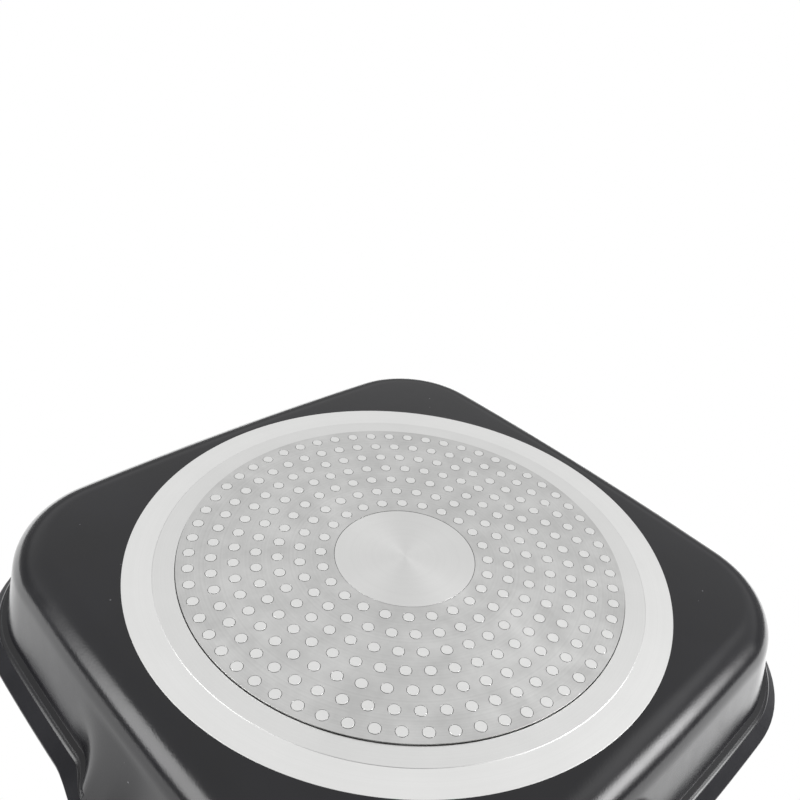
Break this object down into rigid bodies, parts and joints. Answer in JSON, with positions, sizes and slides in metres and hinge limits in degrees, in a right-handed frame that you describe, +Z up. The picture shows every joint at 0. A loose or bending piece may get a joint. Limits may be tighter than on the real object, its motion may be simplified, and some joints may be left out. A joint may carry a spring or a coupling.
{
  "type": "square grill pan",
  "caption": "Square cast grill pan with a ribbed floor, a lid seat, two pouring lips, a perforated induction base and a long handle.",
  "frame": {"origin": "middle of the base, on the plane that the pan rests on", "axes": "+X along the handle away from the pan, +Z up from the base towards the rim"},
  "size_m": [0.4641, 0.288, 0.0873],
  "materials": {
    "nonstick_coating": "die-cast aluminium with a black non-stick coating, satin; the ring round the plate and the middle of the base are bare and turned",
    "plate_steel": "perforated stainless steel, finely brushed",
    "guard_steel": "polished stainless steel",
    "phenolic": "moulded phenolic, satin",
    "screw_steel": "zinc plated",
    "spring_steel": "oiled spring steel"
  },
  "bodies": {
    "root": {"pan_body": "nonstick_coating", "induction_plate": "plate_steel", "flame_guard": "guard_steel", "handle_grip": "phenolic", "handle_screw": "screw_steel", "lock_washer": "spring_steel"}
  },
  "joints": []
}
